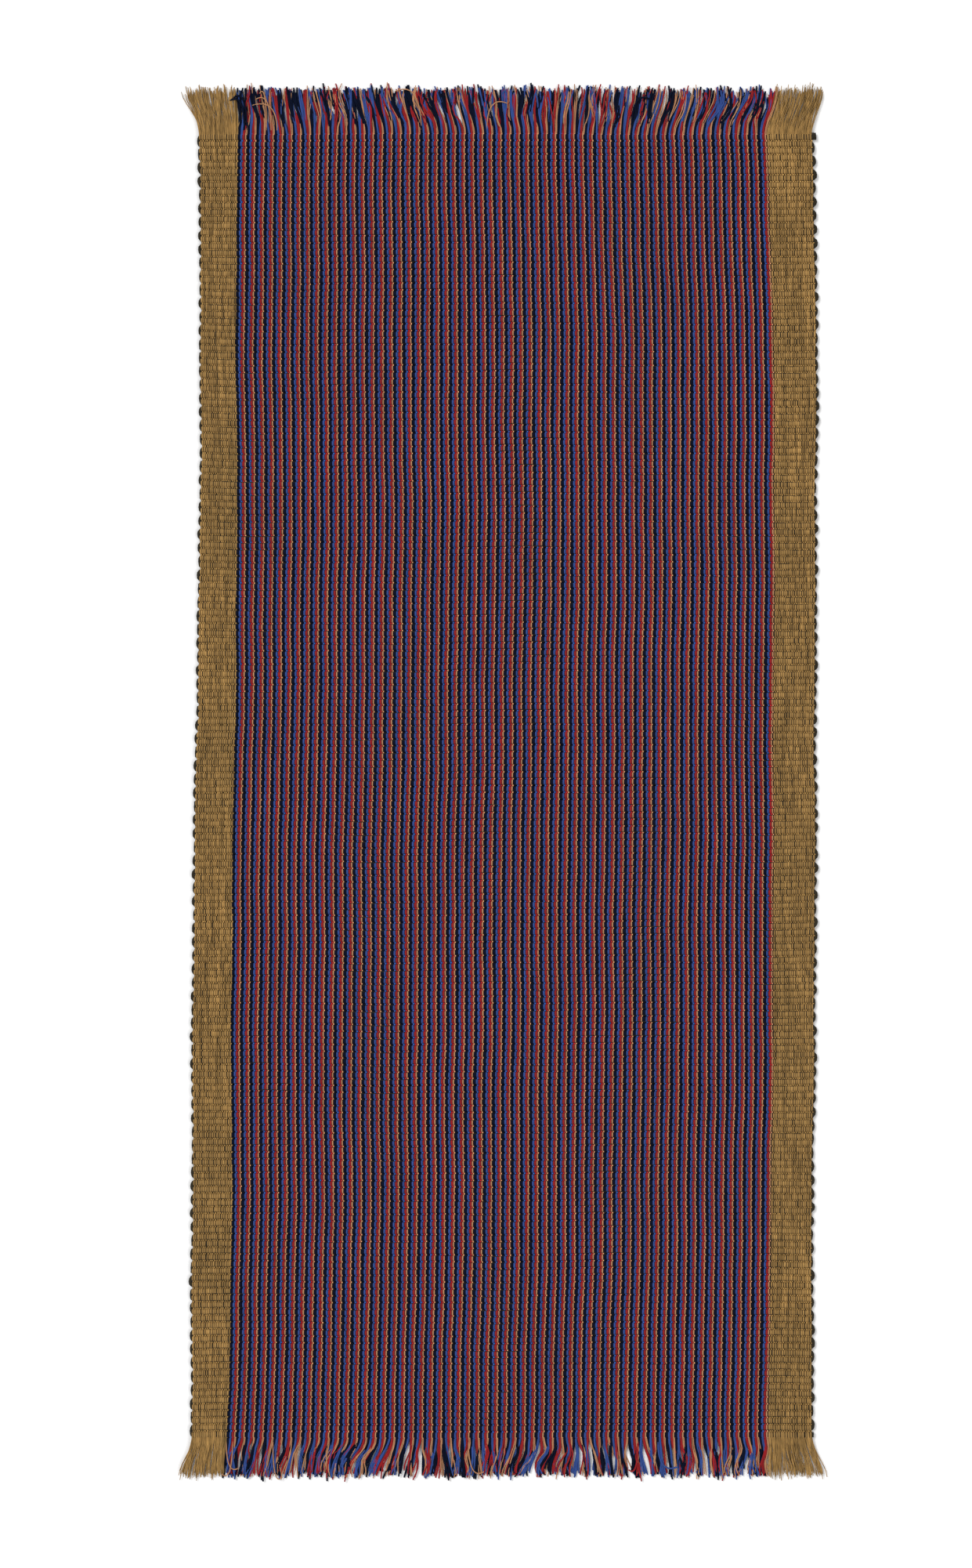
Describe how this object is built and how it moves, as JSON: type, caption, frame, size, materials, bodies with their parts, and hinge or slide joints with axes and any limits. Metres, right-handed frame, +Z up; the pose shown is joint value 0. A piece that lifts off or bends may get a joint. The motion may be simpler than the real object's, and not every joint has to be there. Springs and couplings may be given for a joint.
{
  "type": "runner rug",
  "caption": "Long flat-woven runner rug with cross ribs, fine lengthwise stripes, plain borders, dark cord turns along both selvedges and a loose fringe at each end.",
  "frame": {"origin": "centre of the rug's outline, on the floor under it", "axes": "+X across the width, +Y along the length, +Z up out of the face of the rug"},
  "size_m": [0.8095, 1.8, 0.0066],
  "materials": {
    "black_warp": "matt spun yarn",
    "blue_warp": "matt spun yarn",
    "red_warp": "matt spun yarn",
    "tan_warp": "matt spun yarn",
    "border_warp": "matt spun yarn",
    "cord": "felted matt cord",
    "binding": "matt fine yarn"
  },
  "bodies": {
    "root": {"rib_cord": "cord", "cord_turns_left": "cord", "cord_turns_right": "cord", "binding_weft": "binding", "header_top": "binding", "header_bottom": "binding", "warp_face_black": "black_warp", "warp_face_blue": "blue_warp", "warp_face_red": "red_warp", "warp_face_tan": "tan_warp", "warp_back_black": "black_warp", "warp_back_blue": "blue_warp", "warp_back_red": "red_warp", "warp_back_tan": "tan_warp", "border_left_face": "border_warp", "border_left_back": "border_warp", "border_right_face": "border_warp", "border_right_back": "border_warp", "fringe_top_black": "black_warp", "fringe_top_blue": "blue_warp", "fringe_top_red": "red_warp", "fringe_top_tan": "tan_warp", "fringe_bottom_black": "black_warp", "fringe_bottom_blue": "blue_warp", "fringe_bottom_red": "red_warp", "fringe_bottom_tan": "tan_warp", "fringe_top_left": "border_warp", "fringe_top_right": "border_warp", "fringe_bottom_left": "border_warp", "fringe_bottom_right": "border_warp"}
  },
  "joints": []
}
